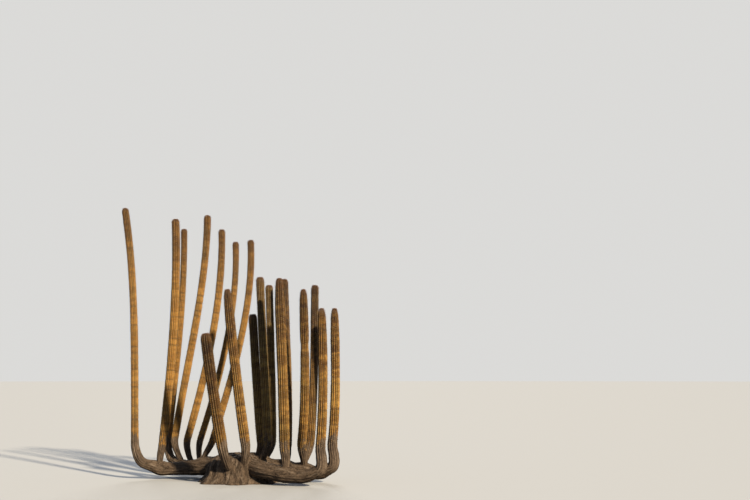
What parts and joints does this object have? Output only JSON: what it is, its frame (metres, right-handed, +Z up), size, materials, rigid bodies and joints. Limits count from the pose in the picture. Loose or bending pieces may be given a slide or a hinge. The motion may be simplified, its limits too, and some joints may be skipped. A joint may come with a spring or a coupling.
{
  "type": "organ pipe cactus",
  "caption": "Clump of tall, slender ribbed columns that stand on low woody boughs spreading from one root crown, rooted in level ground.",
  "frame": {"origin": "middle of the flat cut under the root crown, at ground level", "axes": "+Z up; +X to the right of the clump as it is usually seen, along its widest spread; +Y to its back"},
  "size_m": [3.5421, 2.37, 4.276],
  "materials": {
    "skin": "waxy olive-green ribbed cactus skin with rows of spines, yellowed by low sun",
    "wood": "dry grey-brown cork and fissured bark of old cactus wood",
    "felt": "short red-brown felt of the areoles and growing tips",
    "spines": "dry straw-grey to brown spines"
  },
  "bodies": {
    "root": {"root_crown": "wood", "bough_left": "wood", "bough_back": "wood", "bough_right": "wood", "bough_front_right": "wood", "tall_stem_1": "skin", "tall_stem_2": "skin", "tall_stem_3": "skin", "tall_stem_4": "skin", "tall_stem_5": "skin", "tall_stem_6": "skin", "tall_stem_7": "skin", "front_stem_1": "skin", "front_stem_2": "skin", "front_stem_3": "skin", "front_stem_4": "skin", "front_stem_5": "skin", "front_stem_6": "skin", "front_stem_7": "skin", "front_stem_8": "skin", "front_stem_9": "skin", "front_stem_10": "skin", "front_stem_11": "skin"}
  },
  "joints": []
}
